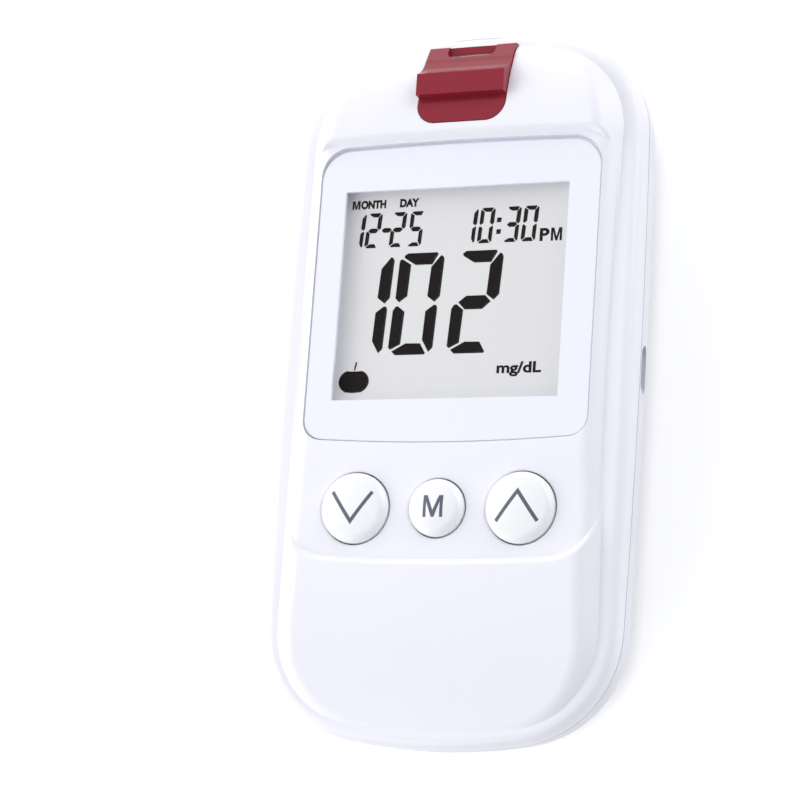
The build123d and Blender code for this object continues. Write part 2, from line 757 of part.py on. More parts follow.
# --- screws ---------------------------------------------------------------------------------
with BuildPart() as case_screws:
    for place in screw_places:
        disc(place, screw_head_radius, (screw_head_z - screw_head_height, screw_head_z))
        disc(place, screw_radius, (screw_head_z - 0.1, screw_tip_z))
        recess_z = (screw_head_z - screw_head_height, screw_head_z - screw_head_height + screw_recess)
        slab((place[0] - 1.1, place[0] + 1.1), (place[1] - 0.2, place[1] + 0.2), recess_z, Mode.SUBTRACT)
        slab((place[0] - 0.2, place[0] + 0.2), (place[1] - 1.1, place[1] + 1.1), recess_z, Mode.SUBTRACT)
save(case_screws.part, "case_screws")

# --- window and display ---------------------------------------------------------------------
with BuildPart() as display_lens:
    extrude(lens_outline(lens_seat_z), amount=lens_thickness)
    chamfer(display_lens.faces().sort_by(Axis.Z)[-1].edges(), lens_edge_chamfer)
save(display_lens.part, "display_lens")

with BuildPart() as lens_adhesive:
    extrude(lens_outline(pocket_floor_z, -adhesive_inset), amount=adhesive_thickness)
    with BuildSketch(Plane.XY.offset(pocket_floor_z)):
        with Locations((0, display_centre_y)):
            RectangleRounded(window_width + 2 * adhesive_margin, window_length + 2 * adhesive_margin, 1.5)
    extrude(amount=adhesive_thickness, mode=Mode.SUBTRACT)
save(lens_adhesive.part, "lens_adhesive")

with BuildPart() as lcd_panel:
    for height, length in ((glass_z, back_glass_length), (glass_step_z, front_glass_length)):
        with BuildSketch(Plane.XY.offset(height)):
            with Locations((0, display_centre_y)):
                Rectangle(glass_width, length)
        extrude(amount=glass_thickness)
save(lcd_panel.part, "lcd_panel")

with BuildPart() as lcd_holder:
    inner_width = holder_width - 2 * holder_wall
    inner_length = holder_length - 2 * holder_wall
    with BuildSketch(Plane.XY.offset(board_top_z)):
        with Locations((0, display_centre_y)):
            RectangleRounded(holder_width, holder_length, 1)
            Rectangle(inner_width, inner_length, mode=Mode.SUBTRACT)
    extrude(amount=glass_top_z - board_top_z)
    with BuildSketch(Plane.XY.offset(holder_floor_z)):
        with Locations((0, display_centre_y)):
            Rectangle(inner_width + 1, inner_length + 1)
        with Locations(*((0, display_centre_y + side * zebra_spacing / 2) for side in (-1, 1))):
            Rectangle(
                zebra_length + 2 * zebra_clearance, zebra_width + 2 * zebra_clearance, mode=Mode.SUBTRACT
            )
    extrude(amount=holder_floor)
save(lcd_holder.part, "lcd_holder")

for name, side in (("zebra_upper", 1), ("zebra_lower", -1)):
    with BuildPart() as zebra:
        with BuildSketch(Plane.XY.offset(board_top_z)):
            with Locations((0, display_centre_y + side * zebra_spacing / 2)):
                Rectangle(zebra_length, zebra_width)
        extrude(amount=glass_step_z - board_top_z)
    save(zebra.part, name)

# --- keys and their snap domes --------------------------------------------------------------
key_floor_z = panel_z - panel_dip
flange_top_z = panel_underside_z - key_flange_gap
flange_low_z = flange_top_z - key_flange_thickness
plunger_z = board_top_z + dome_height + dome_gap
for name, (x, radius) in zip(("down_key", "memory_key", "up_key"), keys):
    with BuildPart() as key:
        with BuildSketch(Plane((x, key_row_y, 0), (1, 0, 0), (0, -1, 0))):
            with BuildLine():
                crown = (0, key_floor_z + key_dome_rise)
                shoulder = (radius - key_edge_round, key_floor_z + key_edge_rise)
                edge = (radius, key_floor_z + key_edge_rise - key_edge_round)
                cap = TangentArc(crown, shoulder, tangent=(1, 0))
                TangentArc(shoulder, edge, tangent=cap % 1)
                Polyline(
                    edge,
                    (radius, flange_top_z),
                    (radius + key_flange_width, flange_top_z),
                    (radius + key_flange_width, flange_low_z),
                    (key_plunger_radius, flange_low_z),
                    (key_plunger_radius, plunger_z),
                    (0, plunger_z),
                    crown,
                )
            make_face()
        revolve(axis=Axis((x, key_row_y, 0), (0, 0, 1)))
    save(key.part, name)

for name, (x, radius) in zip(("dome_down", "dome_memory", "dome_up"), keys):
    with BuildPart() as dome:
        with BuildSketch(Plane((x, key_row_y, board_top_z), (1, 0, 0), (0, -1, 0))):
            with BuildLine():
                crown = (0, dome_height)
                hollow = (0, dome_height - dome_wall)
                outer = TangentArc(crown, (dome_radius, 0), tangent=(1, 0))
                TangentArc(hollow, (dome_radius - 0.4, 0), tangent=(1, 0))
                Line(outer @ 1, (dome_radius - 0.4, 0))
                Line(crown, hollow)
            make_face()
        revolve(axis=Axis((x, key_row_y, 0), (0, 0, 1)))
    save(dome.part, name)

# --- circuit board and its parts ------------------------------------------------------------
with BuildPart() as main_pcb:
    extrude(body_outline(board_bottom_z, board_inset), amount=board_thickness)
    slab((-half_width, half_width), (board_low_y, board_high_y), (0, display_z), mode=Mode.INTERSECT)
    for place in screw_places:
        disc(place, screw_radius + 0.4, (board_bottom_z, board_top_z), mode=Mode.SUBTRACT)
save(main_pcb.part, "main_pcb")

with BuildPart() as microcontroller:
    with Locations((chip_x, chip_y, board_bottom_z - chip_thickness / 2)):
        Box(chip_size, chip_size, chip_thickness)
    chamfer(microcontroller.edges().group_by(Axis.Z)[0], 0.15)
save(microcontroller.part, "microcontroller")

with BuildPart() as buzzer:
    disc(buzzer_place, buzzer_radius, (board_bottom_z - buzzer_height, board_bottom_z))
    fillet(buzzer.edges().group_by(Axis.Z)[0], 0.4)
    disc(buzzer_place, 0.8, (board_bottom_z - buzzer_height, board_bottom_z - 1), mode=Mode.SUBTRACT)
save(buzzer.part, "buzzer")

with BuildPart() as data_socket:
    socket_x = (socket_face_x - socket_depth, socket_face_x)
    socket_span = (socket_y - socket_width / 2, socket_y + socket_width / 2)
    slab(socket_x, socket_span, (board_bottom_z - socket_height, board_bottom_z))
    fillet(data_socket.edges().filter_by(Axis.X).group_by(Axis.Z)[0], 0.5)
    slab(
        (socket_face_x - socket_depth + 0.6, socket_face_x),
        (socket_span[0] + socket_wall, socket_span[1] - socket_wall),
        (board_bottom_z - socket_height + socket_wall, board_bottom_z - socket_wall),
        mode=Mode.SUBTRACT,
    )
    slab(
        (socket_face_x - socket_depth, socket_face_x - 1.2),
        (socket_y - 2.0, socket_y + 2.0),
        (board_bottom_z - socket_height / 2 - 0.25, board_bottom_z - socket_height / 2 + 0.25),
    )
save(data_socket.part, "data_socket")

# --- strip port -----------------------------------------------------------------------------
with BuildPart() as strip_connector:
    connector_top_z = board_top_z + connector_height
    connector_z = (board_top_z, connector_top_z)
    slab((-connector_half_width, connector_half_width), (connector_low_y, connector_high_y), connector_z)
    slab((0, arm_reach), (connector_high_y - ear_thickness, connector_high_y), connector_z)
    slab(
        (-strip_slot_width / 2, strip_slot_width / 2),
        (pusher_low_y + 1, connector_high_y),
        (strip_slot_z, strip_slot_z + strip_slot_height),
        Mode.SUBTRACT,
    )
    slab(
        (-connector_cut_half_width, connector_cut_half_width),
        (pusher_low_y - pusher_clearance, pusher_high_y + ejector_travel + pusher_clearance),
        (strip_slot_z, connector_top_z + 1),
        Mode.SUBTRACT,
    )
    for index in range(contact_count):
        groove_x = (index - (contact_count - 1) / 2) * contact_pitch
        groove = (groove_x - contact_width / 2 - 0.1, groove_x + contact_width / 2 + 0.1)
        groove_y = (connector_low_y, connector_low_y + groove_length)
        slab(groove, groove_y, (groove_z, strip_slot_z + 0.05), Mode.SUBTRACT)
save(strip_connector.part, "strip_connector")

with BuildPart() as strip_contacts:
    for index in range(contact_count):
        leaf_x = (index - (contact_count - 1) / 2) * contact_pitch
        leaf_span = (leaf_x - contact_width / 2, leaf_x + contact_width / 2)
        leaf_z = (groove_z, groove_z + contact_thickness)
        slab(leaf_span, (connector_low_y - 0.6, connector_low_y + groove_length - 0.1), leaf_z)
        slab(leaf_span, (connector_low_y - 0.6, connector_low_y - 0.4), (board_top_z, leaf_z[1]))
        slab(leaf_span, (connector_low_y - 1.1, connector_low_y - 0.4),
             (board_top_z, board_top_z + contact_thickness))
save(strip_contacts.part, "strip_contacts")

# --- ejector: thumb slide, pusher and spring --------------------------------------------------
with BuildPart() as slide_plate:
    slide_x = (-ejector_half_width, ejector_half_width)
    slide_low_z = track_floor_z + track_floor_gap
    slab(slide_x, (ejector_low_y, ejector_high_y), (slide_low_z, display_z + 3))
    extrude(crown_side(-ejector_proud), amount=body_width, both=True, mode=Mode.INTERSECT)

with BuildPart() as ridge:
    with BuildSketch(Plane.YZ):
        with BuildLine():
            ridge_z = display_z + ridge_rise
            Polyline(
                (ridge_tail_y, slide_low_z),
                (ridge_foot_y, slide_low_z),
                (ridge_foot_y, ridge_foot_z),
                (ridge_front_y, ridge_z),
                (ridge_back_y, ridge_z),
            )
            slope = Line((ridge_back_y, ridge_z), (ridge_tail_y, ridge_tail_z), mode=Mode.PRIVATE)
            hollow = slope @ 0.5 - Vector(0.6, 0.6) * back_hollow
            ThreePointArc((ridge_back_y, ridge_z), hollow, (ridge_tail_y, ridge_tail_z))
            Line((ridge_tail_y, ridge_tail_z), (ejector_high_y, tail_end_z))
            Line((ejector_high_y, tail_end_z), (ejector_high_y, slide_low_z))
            Line((ejector_high_y, slide_low_z), (ridge_tail_y, slide_low_z))
        make_face()
    extrude(amount=ejector_half_width, both=True)

with BuildPart() as stem:
    slab(
        (-stem_half_width, stem_half_width),
        (stem_low_y, stem_high_y),
        (stem_low_z, display_z + 3),
    )
    extrude(crown_side(stem_cover), amount=body_width, both=True, mode=Mode.INTERSECT)

with BuildPart() as strip_ejector:
    add(slide_plate.part)
    add(ridge.part)
    extrude(crown_side(ejector_thickness - ejector_proud), amount=body_width, both=True, mode=Mode.SUBTRACT)
    slab(slide_x, (ejector_low_y, ejector_high_y), (0, slide_low_z), mode=Mode.SUBTRACT)
    fillet(strip_ejector.edges().filter_by(Axis.Z).group_by(Axis.Y)[0], ejector_corner)
    with BuildSketch(Plane.XY.offset(notch_z)):
        with Locations((0, ejector_high_y + notch_depth)):
            RectangleRounded(2 * notch_half_width, 4 * notch_depth, 1.0)
    extrude(amount=5, mode=Mode.SUBTRACT)
    add(stem.part)
save(strip_ejector.part, "strip_ejector")

with BuildPart() as ejector_pusher:
    slab((-pusher_half_width, pusher_half_width), (pusher_low_y, pusher_high_y), (pusher_low_z, arm_low_z))
    arm_y = (pusher_low_y, pusher_low_y + arm_width)
    slab((-pusher_half_width, arm_reach), arm_y, (arm_low_z, arm_high_z))
    slab((arm_reach - leg_width, arm_reach), arm_y, (board_top_z + 0.15, arm_high_z))
    slab(
        (-stem_half_width - stem_fit, stem_half_width + stem_fit),
        (stem_low_y - stem_fit, stem_high_y + stem_fit),
        (stem_low_z, arm_high_z + 1),
        mode=Mode.SUBTRACT,
    )
save(ejector_pusher.part, "ejector_pusher")

spring_low_y = pusher_low_y + arm_width
spring_length = connector_high_y - ear_thickness - spring_low_y
spring_start = (spring_x, spring_low_y, board_top_z + spring_radius + spring_wire / 2 + 0.1)
ejector_spring = coil(spring_wire, spring_radius, spring_turns, spring_start, spring_length, (0, 1, 0))
save(ejector_spring, "ejector_spring")
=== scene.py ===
"""Blood glucose meter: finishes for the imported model, and the thin printed and etched pieces
that are not worth a solid of their own. Metres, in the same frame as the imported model."""

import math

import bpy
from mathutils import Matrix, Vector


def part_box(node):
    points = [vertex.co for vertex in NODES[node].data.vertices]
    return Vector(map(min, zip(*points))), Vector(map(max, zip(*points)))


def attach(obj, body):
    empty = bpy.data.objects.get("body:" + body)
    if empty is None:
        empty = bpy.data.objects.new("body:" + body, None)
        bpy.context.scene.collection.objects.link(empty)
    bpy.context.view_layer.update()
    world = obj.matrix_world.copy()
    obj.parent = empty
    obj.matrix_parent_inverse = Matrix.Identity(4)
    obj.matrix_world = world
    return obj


bl_info = {
    "name": "Blood glucose meter",
    "version": (1, 0, 0),
    "blender": (4, 5, 0),
    "location": "View3D > Sidebar > Glucose meter",
    "description": "Dresses the packed blood glucose meter and lights it on a pale floor",
    "category": "Object",
}

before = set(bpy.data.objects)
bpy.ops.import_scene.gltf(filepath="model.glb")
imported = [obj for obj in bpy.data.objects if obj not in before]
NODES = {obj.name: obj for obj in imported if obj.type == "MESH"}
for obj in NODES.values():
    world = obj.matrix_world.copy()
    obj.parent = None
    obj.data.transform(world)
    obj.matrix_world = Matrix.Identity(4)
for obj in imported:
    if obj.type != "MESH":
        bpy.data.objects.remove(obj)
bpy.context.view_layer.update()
MM = 0.001
THIN = 0.02 * MM  # printed ink and etched segments, drawn thick enough to hold a mesh
WELD_FLAT = 0.002 * MM  # points of a flat piece nearer than this are one
WELD_PACKED = 0.01 * MM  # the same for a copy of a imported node
FLOOR_DROP = 0.02 * MM  # keeps the floor's face apart from the back of the meter

# The camera, in metres: where it stands, which way it looks and which way is up in its picture.
EYE_PLACE = Vector((0.1381, -0.08225, 0.3525))
EYE_AXIS = Vector((-0.3886, 0.2126, -0.8965))
EYE_UP = Vector((0.0191, 0.9747, 0.2229))

# The lamps: where each soft disk stands and how wide it is, in metres. Each faces the origin.
LAMPS = {
    "left": ((-0.85, 0.15, 0.5), 0.9),
    "right": ((0.75, 0.6, 0.35), 0.9),
    "near": ((-0.5, -0.7, 0.5), 0.9),
    "far": ((-0.2, 0.95, 0.35), 0.8),
}
SKY_TINT = (0.955, 0.965, 1.0, 1.0)  # linear, a little cool


def linear(code):
    """An sRGB hex colour as linear red, green and blue."""
    parts = [int(code[place : place + 2], 16) / 255 for place in (1, 3, 5)]
    return tuple(c / 12.92 if c <= 0.04045 else ((c + 0.055) / 1.055) ** 2.4 for c in parts)


def rgba(colour):
    """A colour with full cover."""
    return (*colour, 1.0)


def darker(colour, share):
    """A colour with a share of its light taken off."""
    return tuple(c * (1 - share) for c in colour)


def shade(name, text, code):
    """A colour that a user may change, given by its sRGB hex value."""
    return bpy.props.FloatVectorProperty(
        name=name, description=text, subtype="COLOR", size=3, min=0.0, max=1.0, default=linear(code)
    )


def length(name, text, millimetres):
    """A length that a user may change."""
    return bpy.props.FloatProperty(
        name=name, description=text, unit="LENGTH", precision=5, default=millimetres * MM
    )


def number(name, text, value, top=1.0):
    """A plain number that a user may change, from nothing up to top."""
    return bpy.props.FloatProperty(name=name, description=text, min=0.0, max=top, default=value)


def power(name, text, watts):
    """The power of a lamp, which a user may change."""
    return bpy.props.FloatProperty(
        name=name, description=text, unit="POWER", min=0.0, max=50.0, default=watts
    )


# --- settings ---------------------------------------------------------------------------


class MeterStageSettings(bpy.types.PropertyGroup):
    floor: shade("Floor", "Colour of the paper under the meter", "#f4f4f5")
    floor_glow: number("Floor glow", "Lift of the paper where it is looked at", 0.36)
    sky: number("Sky", "Level of the even light from all round", 0.42, 4.0)
    left: power("Left lamp", "Power of the soft lamp at the left", 6.0)
    right: power("Right lamp", "Power of the soft lamp beyond the right side", 5.6)
    near: power("Near lamp", "Power of the soft lamp before the lower end", 3.8)
    far: power("Far lamp", "Power of the soft lamp beyond the upper end", 1.9)
    lens: bpy.props.FloatProperty(
        name="Lens",
        description="Focal length of the camera on a 36 mm sensor",
        unit="CAMERA",
        default=121.7,
    )


class MeterCasingSettings(bpy.types.PropertyGroup):
    front: shade("Front", "Moulded white of the front half", "#f3f3fb")
    # The back's white is darker than the front's: it was set to the tone of its side in shade, so
    # it holds painted shade.
    back: shade("Back", "Moulded white of the back half and the door", "#ebecf4")
    key: shade("Keys", "Moulded white of the three keys", "#f7f8fb")
    mark: shade("Key marks", "Ink of the marks on the keys", "#585a69")
    roughness: number("Roughness", "How satin the moulded casing is", 0.34)
    mark_stroke: length("Mark stroke", "Width of the lines of the arrow marks", 0.5)


class MeterDisplaySettings(bpy.types.PropertyGroup):
    border: shade("Border", "White ink round the display", "#f1f3fd")
    ground: shade("Ground", "Reflective ground of the display", "#dfdfe0")
    segment: shade("Segments", "Dark of the switched segments", "#231f1f")
    border_depth: length("Border depth", "White ink under the top of the window", 0.5)
    border_thickness: length("Border thickness", "Thickness of the white ink", 0.55)
    view_width: length("View width", "Clear view in the border, across", 33.4)
    view_length: length("View length", "Clear view in the border, along", 30.2)
    view_side: length("View side", "Middle of the clear view, across", -0.3)
    view_centre: length("View centre", "Middle of the clear view, along", 12.1)


class MeterEjectorSettings(bpy.types.PropertyGroup):
    red: shade("Red", "Moulded red of the strip ejector", "#8f2434")
    pusher: shade("Pusher", "Moulded grey of the carriage under it", "#b9babd")


class MeterPartsSettings(bpy.types.PropertyGroup):
    board: shade("Board", "Solder mask", "#1f6b3c")
    cell: shade("Cell jacket", "Printed sleeve of the cells", "#2f3d52")
    cell_band: shade("Cell band", "Bright band of the sleeve", "#c9a24a")
    steel: shade("Steel", "Nickel-plated steel", "#c9c8c4")
    gold: shade("Gold", "Gold-plated contacts", "#e2bd6c")
    black: shade("Black", "Black moulded parts", "#26262a")


# --- making materials -------------------------------------------------------------------


def add_node(tree, kind, settings=None, values=None, links=None):
    """Adds one node: settings go on it, values on its sockets, and links into its sockets."""
    node = tree.nodes.new(kind)
    for name, value in (settings or {}).items():
        setattr(node, name, value)
    for name, value in (values or {}).items():
        node.inputs[name].default_value = value
    for name, socket in (links or {}).items():
        tree.links.new(socket, node.inputs[name])
    return node


def new_tree(name):
    """A material with an empty tree."""
    material = bpy.data.materials.new(name)
    material.use_nodes = True
    material.node_tree.nodes.clear()
    return material, material.node_tree


def sight_rays(tree):
    """1 on what is looked at: straight, in a mirror or through glass. 0 for other light."""
    path = add_node(tree, "ShaderNodeLightPath")
    looked_at = path.outputs["Is Camera Ray"]
    for name in ("Is Glossy Ray", "Is Transmission Ray"):
        either = add_node(
            tree,
            "ShaderNodeMath",
            {"operation": "MAXIMUM"},
            links={0: looked_at, 1: path.outputs[name]},
        )
        looked_at = either.outputs[0]
    return looked_at


# Most values of a pattern of lumps lie between these.
LUMPS_LOW = 0.3
LUMPS_HIGH = 0.7


def lumps(tree, across_mm, detail=2.0):
    """Soft random lumps, about across_mm from one to the next on the object."""
    place = add_node(tree, "ShaderNodeTexCoord")
    scaled = add_node(
        tree,
        "ShaderNodeMapping",
        values={"Scale": (1 / (across_mm * MM),) * 3},
        links={"Vector": place.outputs["Object"]},
    )
    return add_node(
        tree,
        "ShaderNodeTexNoise",
        values={"Scale": 1.0, "Detail": detail},
        links={"Vector": scaled.outputs["Vector"]},
    ).outputs["Fac"]


def cloudy_gloss(tree, pattern, roughness, swing):
    """A gloss that drifts by swing to each side of roughness along a pattern of lumps."""
    return add_node(
        tree,
        "ShaderNodeMapRange",
        values={
            "From Min": LUMPS_LOW,
            "From Max": LUMPS_HIGH,
            "To Min": roughness - swing,
            "To Max": roughness + swing,
        },
        links={"Value": pattern},
    ).outputs["Result"]


def cloudy_surface(tree, pattern, colour, fade, roughness, swing):
    """A colour that darkens by a share and a gloss that drifts, both along a pattern of
    lumps, as links of a shader."""
    clouds = add_node(
        tree,
        "ShaderNodeMapRange",
        values={"From Min": LUMPS_LOW, "From Max": LUMPS_HIGH},
        links={"Value": pattern},
    )
    tint = add_node(
        tree,
        "ShaderNodeMix",
        {"data_type": "RGBA"},
        {"A": rgba(colour), "B": rgba(darker(colour, fade))},
        {"Factor": clouds.outputs["Result"]},
    )
    return {
        "Base Color": tint.outputs["Result"],
        "Roughness": cloudy_gloss(tree, pattern, roughness, swing),
    }


def moulded(name, colour, roughness, grain_mm=0.3, depth_mm=0.006, ior=1.54, fade=0.02):
    """Injection-moulded plastic: a fine spark-eroded grain, and a faint drift of colour and
    gloss where the melt flowed, over about 18 mm. The grain is drawn coarser than the real
    0.1 mm so that it shows at all."""
    material, tree = new_tree(name)
    flow = lumps(tree, 18.0)
    bump = add_node(
        tree,
        "ShaderNodeBump",
        values={"Strength": 0.35, "Distance": depth_mm * MM},
        links={"Height": lumps(tree, grain_mm, 3.0)},
    )
    shader = add_node(
        tree,
        "ShaderNodeBsdfPrincipled",
        values={"IOR": ior},
        links={
            **cloudy_surface(tree, flow, colour, fade, roughness, 0.03),
            "Normal": bump.outputs["Normal"],
        },
    )
    add_node(tree, "ShaderNodeOutputMaterial", links={"Surface": shader.outputs[0]})
    return material


def clear_acrylic(name, ior):
    """Clear cast acrylic with a coat against glare, hence an IOR below the 1.49 of the bare
    sheet: hard, polished, with faint fine dust on it. Lamps reach what lies under it."""
    material, tree = new_tree(name)
    dust = lumps(tree, 1.2, 4.0)
    gloss = add_node(
        tree,
        "ShaderNodeBsdfPrincipled",
        values={"Base Color": (1.0, 1.0, 1.0, 1.0), "IOR": ior, "Transmission Weight": 1.0},
        links={"Roughness": cloudy_gloss(tree, dust, 0.05, 0.02)},
    )
    clear = add_node(tree, "ShaderNodeBsdfTransparent")
    fresnel = add_node(tree, "ShaderNodeFresnel", values={"IOR": ior})
    path = add_node(tree, "ShaderNodeLightPath")
    sight = add_node(
        tree,
        "ShaderNodeMath",
        {"operation": "MAXIMUM"},
        links={0: path.outputs["Is Camera Ray"], 1: path.outputs["Is Glossy Ray"]},
    )
    # What comes up through the window leaves it straight, so only its outer face reflects.
    side = add_node(tree, "ShaderNodeNewGeometry")
    outer = add_node(
        tree,
        "ShaderNodeMath",
        {"operation": "SUBTRACT", "use_clamp": True},
        links={0: sight.outputs[0], 1: side.outputs["Backfacing"]},
    )
    share = add_node(
        tree,
        "ShaderNodeMath",
        {"operation": "MULTIPLY"},
        links={0: fresnel.outputs["Fac"], 1: outer.outputs[0]},
    )
    mixer = add_node(
        tree,
        "ShaderNodeMixShader",
        links={"Fac": share.outputs[0], 1: clear.outputs[0], 2: gloss.outputs[0]},
    )
    add_node(tree, "ShaderNodeOutputMaterial", links={"Surface": mixer.outputs[0]})
    return material


def ink_film(tree, colour, roughness, ior=1.5):
    """The shader of dried ink: matt, with a mark of the printing mesh, about 0.2 mm across,
    that is hardly there."""
    return add_node(
        tree,
        "ShaderNodeBsdfPrincipled",
        values={"IOR": ior},
        links=cloudy_surface(tree, lumps(tree, 0.2), colour, 0.02, roughness, 0.03),
    )


def printed_ink(name, colour, roughness, ior=1.5):
    """Printed ink on a solid ground: matt, and dense enough to hide what is under it."""
    material, tree = new_tree(name)
    ink = ink_film(tree, colour, roughness, ior)
    add_node(tree, "ShaderNodeOutputMaterial", links={"Surface": ink.outputs[0]})
    return material


def thin_ink(name, colour, through):
    """White ink screen-printed on the back of a clear window: matt, and so thin on the real
    one that a share of the lamps' light goes through each of its faces."""
    material, tree = new_tree(name)
    ink = ink_film(tree, colour, 0.3)
    passed = add_node(
        tree, "ShaderNodeBsdfTransparent", values={"Color": rgba((through, through, through))}
    )
    path = add_node(tree, "ShaderNodeLightPath")
    mixer = add_node(
        tree,
        "ShaderNodeMixShader",
        links={"Fac": path.outputs["Is Shadow Ray"], 1: ink.outputs[0], 2: passed.outputs[0]},
    )
    add_node(tree, "ShaderNodeOutputMaterial", links={"Surface": mixer.outputs[0]})
    return material


def metal(name, colour, roughness):
    """Plated metal, rolled or drawn before it was plated: fine cloudy marks in its gloss."""
    material, tree = new_tree(name)
    marks = lumps(tree, 0.5, 3.0)
    bump = add_node(
        tree,
        "ShaderNodeBump",
        values={"Strength": 0.2, "Distance": 0.004 * MM},
        links={"Height": marks},
    )
    shader = add_node(
        tree,
        "ShaderNodeBsdfPrincipled",
        values={"Metallic": 1.0},
        links={
            **cloudy_surface(tree, marks, colour, 0.12, roughness, 0.08),
            "Normal": bump.outputs["Normal"],
        },
    )
    add_node(tree, "ShaderNodeOutputMaterial", links={"Surface": shader.outputs[0]})
    return material


def display_ground(name, colour):
    """Rear polariser and reflector of a liquid crystal display: a pale grey foil with a
    fine sparkle behind glass."""
    material, tree = new_tree(name)
    shader = add_node(
        tree,
        "ShaderNodeBsdfPrincipled",
        values={"IOR": 1.5},
        links=cloudy_surface(tree, lumps(tree, 0.15), colour, 0.015, 0.46, 0.04),
    )
    add_node(tree, "ShaderNodeOutputMaterial", links={"Surface": shader.outputs[0]})
    return material


def circuit_board(name, colour):
    """Glass-fibre board under green solder mask: the weave of 0.5 mm threads just shows
    through, and the mask pools a little, every 3 mm or so."""
    material, tree = new_tree(name)
    place = add_node(tree, "ShaderNodeTexCoord")
    threads = add_node(
        tree,
        "ShaderNodeMapping",
        values={"Scale": (1 / (0.5 * MM),) * 3},
        links={"Vector": place.outputs["Object"]},
    )
    weave = add_node(
        tree,
        "ShaderNodeTexChecker",
        values={"Scale": 1.0, "Color1": rgba(darker(colour, 0.1)), "Color2": rgba(colour)},
        links={"Vector": threads.outputs["Vector"]},
    )
    shader = add_node(
        tree,
        "ShaderNodeBsdfPrincipled",
        values={"IOR": 1.55},
        links={
            "Base Color": weave.outputs["Color"],
            "Roughness": cloudy_gloss(tree, lumps(tree, 3.0), 0.31, 0.05),
        },
    )
    add_node(tree, "ShaderNodeOutputMaterial", links={"Surface": shader.outputs[0]})
    return material


def cell_sleeve(name, jacket, band, steel):
    """Printed shrink sleeve of an alkaline cell: a broad plain jacket, a bright band near the
    positive end, and the bare steel of both caps."""
    material, tree = new_tree(name)
    place = add_node(tree, "ShaderNodeTexCoord")
    split = add_node(tree, "ShaderNodeSeparateXYZ", links={"Vector": place.outputs["Object"]})
    left_low, left_high = (corner.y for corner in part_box("battery_left"))
    right_low, right_high = (corner.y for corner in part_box("battery_right"))
    on_right = add_node(
        tree,
        "ShaderNodeMath",
        {"operation": "GREATER_THAN"},
        values={1: 0.0},
        links={0: split.outputs["X"]},
    )
    # From the flat end of each cell to its button. The right one lies the other way round.
    up_left = add_node(
        tree,
        "ShaderNodeMapRange",
        values={"From Min": left_low, "From Max": left_high},
        links={"Value": split.outputs["Y"]},
    )
    down_right = add_node(
        tree,
        "ShaderNodeMapRange",
        values={"From Min": right_high, "From Max": right_low},
        links={"Value": split.outputs["Y"]},
    )
    along = add_node(
        tree,
        "ShaderNodeMix",
        {"data_type": "FLOAT"},
        links={
            "Factor": on_right.outputs[0],
            "A": up_left.outputs["Result"],
            "B": down_right.outputs["Result"],
        },
    )
    ramp = add_node(tree, "ShaderNodeValToRGB", links={"Fac": along.outputs["Result"]})
    ramp.color_ramp.interpolation = "CONSTANT"
    # How far along the cell each colour begins.
    stops = (
        (0.0, steel),
        (0.025, jacket),
        (0.72, band),
        (0.745, jacket),
        (0.8, band),
        (0.955, steel),
    )
    while len(ramp.color_ramp.elements) < len(stops):
        ramp.color_ramp.elements.new(0.5)
    for element, (position, colour) in zip(ramp.color_ramp.elements, stops):
        element.position = position
        element.color = rgba(colour)
    shader = add_node(
        tree,
        "ShaderNodeBsdfPrincipled",
        values={"IOR": 1.5, "Metallic": 0.35},
        links={
            "Base Color": ramp.outputs["Color"],
            "Roughness": cloudy_gloss(tree, lumps(tree, 0.4), 0.28, 0.04),
        },
    )
    add_node(tree, "ShaderNodeOutputMaterial", links={"Surface": shader.outputs[0]})
    return material


# --- making pieces ----------------------------------------------------------------------


def select_only(*things):
    """Selects these objects and nothing else. The first becomes the active one."""
    bpy.ops.object.select_all(action="DESELECT")
    for thing in things:
        thing.select_set(True)
    bpy.context.view_layer.objects.active = things[0]


def apply_modifier(thing, kind, **settings):
    """Adds one modifier and applies it."""
    select_only(thing)
    modifier = thing.modifiers.new(kind.title(), kind)
    for name, value in settings.items():
        setattr(modifier, name, value)
    bpy.ops.object.modifier_apply(modifier=modifier.name)


def finish_piece(thing, name, material, body):
    """Settles a finished piece: its place goes into its mesh, then it rides on a body."""
    thing.name = name
    thing.data.name = name
    select_only(thing)
    bpy.ops.object.transform_apply(location=True, rotation=True, scale=True)
    thing.data.materials.clear()
    thing.data.materials.append(material)
    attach(thing, body)
    return thing


def dress(material, *names):
    """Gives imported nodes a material."""
    for name in names:
        for place in NODES[name].material_slots:
            place.material = material


def flat_shape(loops, height):
    """A flat piece inside closed loops of (x, y) in millimetres, standing on height."""
    curve = bpy.data.curves.new("flat_shape", "CURVE")
    curve.dimensions = "2D"
    curve.fill_mode = "BOTH"
    for loop in loops:
        spline = curve.splines.new("POLY")
        spline.points.add(len(loop) - 1)
        for point, (x, y) in zip(spline.points, loop):
            point.co = (x * MM, y * MM, 0.0, 1.0)
        spline.use_cyclic_u = True
    thing = bpy.data.objects.new("flat_shape", curve)
    bpy.context.collection.objects.link(thing)
    return as_mesh(thing, height)


def as_mesh(thing, height):
    """A flat curve or text as a closed sheet that stands on height."""
    thing.data.extrude = THIN / 2
    select_only(thing)
    bpy.ops.object.convert(target="MESH")
    thing = bpy.context.view_layer.objects.active
    bpy.ops.object.mode_set(mode="EDIT")
    bpy.ops.mesh.select_all(action="SELECT")
    bpy.ops.mesh.remove_doubles(threshold=WELD_FLAT)
    bpy.ops.mesh.normals_make_consistent(inside=False)
    bpy.ops.object.mode_set(mode="OBJECT")
    thing.location.z += height + THIN / 2
    bpy.ops.object.transform_apply(location=True, rotation=True, scale=True)
    return thing


